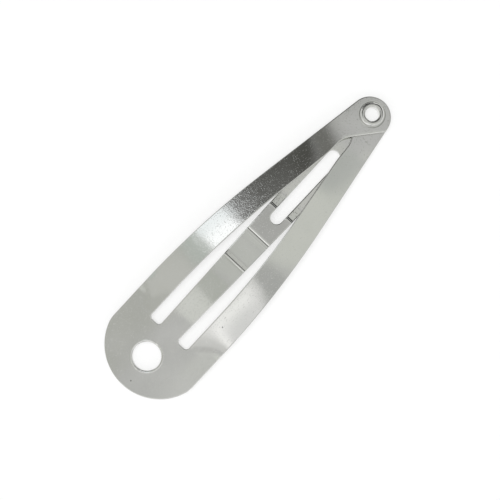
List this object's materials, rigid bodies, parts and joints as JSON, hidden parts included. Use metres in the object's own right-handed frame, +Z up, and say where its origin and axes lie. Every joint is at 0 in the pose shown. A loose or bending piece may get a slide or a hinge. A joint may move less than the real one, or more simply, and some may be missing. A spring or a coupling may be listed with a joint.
{
  "type": "snap hair clip",
  "caption": "Plated steel snap hair clip: long tapered frame with a round heel, a centre tongue and ears joined by an eyelet, shown closed.",
  "frame": {"origin": "middle of the closed clip's plan, on the table that it lies on, at the height of its lowest points", "axes": "+X from the heel to the tip, +Y towards the left arm (the one whose ear lies on top), +Z up, away from the tongue's hair side"},
  "size_m": [0.05, 0.0138, 0.0028],
  "materials": {
    "blank_steel": "bright nickel plate over rolled spring steel, fine grain and hairline scratches",
    "eyelet_steel": "bright nickel plate, rolled lips"
  },
  "bodies": {
    "heel": {"heel_plate": "blank_steel"},
    "arms": {"left_arm": "blank_steel", "right_arm": "blank_steel", "eyelet": "eyelet_steel"},
    "tongue": {"tongue": "blank_steel"}
  },
  "joints": [
    {"name": "arms_snap", "type": "hinge", "parent": "heel", "child": "arms", "pos_m": [-0.01532, 0, 0.00141], "axis": [0, -1, 0], "range_deg": [0, 16]},
    {"name": "tongue_flex", "type": "hinge", "parent": "heel", "child": "tongue", "pos_m": [-0.01532, 0, 0.00141], "axis": [0, -1, 0], "range_deg": [0, 3.2]}
  ],
  "couplings": [
    {"joint": "tongue_flex", "follows": "arms_snap", "ratio": 0.2}
  ]
}
